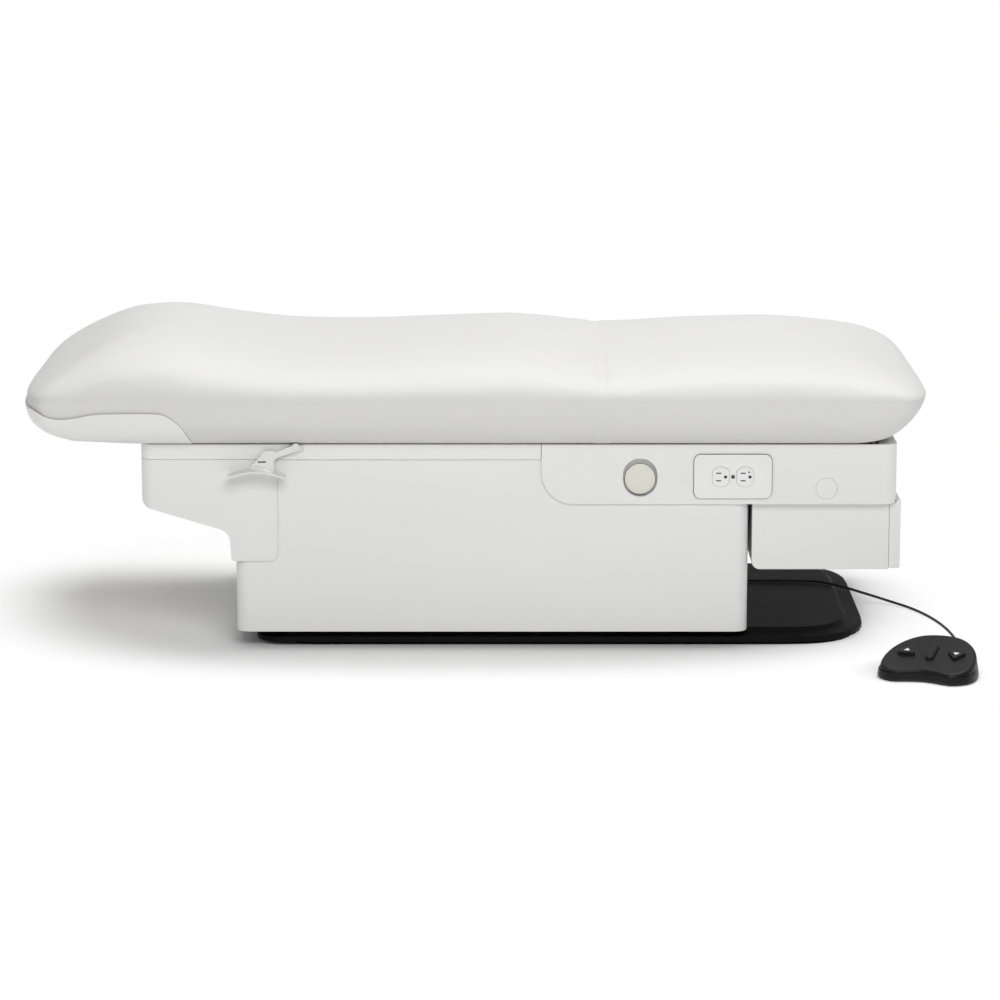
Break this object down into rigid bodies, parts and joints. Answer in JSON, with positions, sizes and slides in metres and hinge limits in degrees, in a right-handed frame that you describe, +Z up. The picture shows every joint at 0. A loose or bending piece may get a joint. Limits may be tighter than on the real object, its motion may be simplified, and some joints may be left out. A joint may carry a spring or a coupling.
{
  "type": "electric examination table",
  "caption": "Low electric examination table: padded top with a folding back on a telescoping lift base, with drawer, pull-out leg rest, outlet and corded foot pedal.",
  "frame": {"origin": "on the floor under the middle of the body wrap, on the underside of the base plate", "axes": "+X toward the foot end, +Z up, the side with the outlet faces -Y"},
  "size_m": [1.5108, 0.9165, 0.4919],
  "materials": {
    "upholstery": "soft matte vinyl",
    "panel": "satin white",
    "frame_steel": "grey paint",
    "bright_steel": "bright",
    "board": "plain plywood",
    "beige_plastic": "satin beige",
    "outlet_plastic": "white",
    "base_plastic": "fine grain black",
    "pedal_plastic": "fine grain dark grey",
    "rubber": "black"
  },
  "bodies": {
    "base": {"base_plate": "frame_steel", "base_cover": "base_plastic", "control_box": "pedal_plastic", "column_outer_head": "frame_steel", "column_outer_foot": "frame_steel", "column_motor_head": "pedal_plastic", "column_motor_foot": "pedal_plastic", "base_shroud": "panel", "cord_gland": "rubber", "pedal_housing": "pedal_plastic", "pedal_base": "rubber", "pedal_cord_relief": "rubber", "pedal_cord": "rubber"},
    "lower_stages": {"column_lower_stage_head": "frame_steel", "column_lower_stage_foot": "frame_steel"},
    "upper_stages": {"column_upper_stage_head": "frame_steel", "column_upper_stage_foot": "frame_steel"},
    "shroud_stage": {"middle_shroud": "panel"},
    "lift_top": {"column_inner_head": "frame_steel", "column_inner_foot": "frame_steel", "chassis_frame": "frame_steel", "body_wrap": "panel", "head_end_cover": "panel", "top_band": "panel", "foot_housing": "panel", "outlet_plate": "outlet_plastic", "outlet_receptacle": "outlet_plastic", "hole_plug": "panel", "drawer_casing": "panel", "leg_runner_near": "bright_steel", "leg_runner_far": "bright_steel", "anchor_tube": "bright_steel", "anchor_cap_near": "beige_plastic", "anchor_cap_far": "beige_plastic", "hinge_leaf_seat": "bright_steel", "hinge_rod": "bright_steel", "seat_board": "board", "seat_cushion": "upholstery", "back_rest_pad_near": "rubber", "back_rest_pad_far": "rubber"},
    "back_section": {"back_board": "board", "back_cushion": "upholstery", "head_shell": "panel", "hinge_leaf_back": "bright_steel"},
    "gas_cylinders": {"gas_cylinder_near": "pedal_plastic", "gas_cylinder_far": "pedal_plastic"},
    "gas_rods": {"gas_rod_near": "bright_steel", "gas_rod_far": "bright_steel"},
    "back_release": {"release_shaft": "bright_steel", "release_paddle_near": "bright_steel", "release_paddle_far": "bright_steel"},
    "drawer": {"drawer_tray": "panel", "drawer_front": "panel"},
    "leg_rest": {"leg_board": "panel", "leg_pad": "upholstery"},
    "up_key": {"up_key": "pedal_plastic"},
    "down_key": {"down_key": "pedal_plastic"}
  },
  "joints": [
    {"name": "lift", "type": "slide", "parent": "base", "child": "lift_top", "axis": [0, 0, 1], "range_m": [0, 0.483]},
    {"name": "lower_stage_slide", "type": "slide", "parent": "base", "child": "lower_stages", "axis": [0, 0, 1], "range_m": [0, 0.1611]},
    {"name": "upper_stage_slide", "type": "slide", "parent": "base", "child": "upper_stages", "axis": [0, 0, 1], "range_m": [0, 0.3221]},
    {"name": "shroud_slide", "type": "slide", "parent": "base", "child": "shroud_stage", "axis": [0, 0, 1], "range_m": [0, 0.2416]},
    {"name": "back_fold", "type": "hinge", "parent": "lift_top", "child": "back_section", "pos_m": [0.175, 0, 0.452], "axis": [0, 1, 0], "range_deg": [0, 75]},
    {"name": "gas_cylinder_pivot", "type": "hinge", "parent": "lift_top", "child": "gas_cylinders", "pos_m": [0.236, 0, 0.276], "axis": [0, 1, 0], "range_deg": [0, 38]},
    {"name": "gas_rod_pivot", "type": "hinge", "parent": "back_section", "child": "gas_rods", "pos_m": [0.03967, 0, 0.324], "axis": [0, 1, 0], "range_deg": [-38, 0]},
    {"name": "release_pull", "type": "hinge", "parent": "back_section", "child": "back_release", "pos_m": [-0.311, 0, 0.329], "axis": [0, 1, 0], "range_deg": [0, 10], "stiffness_Nm_per_rad": 3, "springref_deg": -2.86},
    {"name": "drawer_slide", "type": "slide", "parent": "lift_top", "child": "drawer", "axis": [1, 0, 0], "range_m": [0, 0.17]},
    {"name": "leg_rest_slide", "type": "slide", "parent": "lift_top", "child": "leg_rest", "axis": [1, 0, 0], "range_m": [0, 0.3]},
    {"name": "up_key_press", "type": "slide", "parent": "base", "child": "up_key", "axis": [0.0711, 0.1954, -0.9781], "range_m": [0, 0.003], "stiffness_N_per_m": 400, "springref_m": -0.0015},
    {"name": "down_key_press", "type": "slide", "parent": "base", "child": "down_key", "axis": [0.0711, 0.1954, -0.9781], "range_m": [0, 0.003], "stiffness_N_per_m": 400, "springref_m": -0.0015}
  ],
  "couplings": [
    {"joint": "lower_stage_slide", "follows": "lift", "ratio": 0.33333},
    {"joint": "upper_stage_slide", "follows": "lift", "ratio": 0.66667},
    {"joint": "shroud_slide", "follows": "lift", "ratio": 0.5},
    {"joint": "gas_cylinder_pivot", "follows": "back_fold", "ratio": 0.5},
    {"joint": "gas_rod_pivot", "follows": "back_fold", "ratio": -0.5}
  ]
}
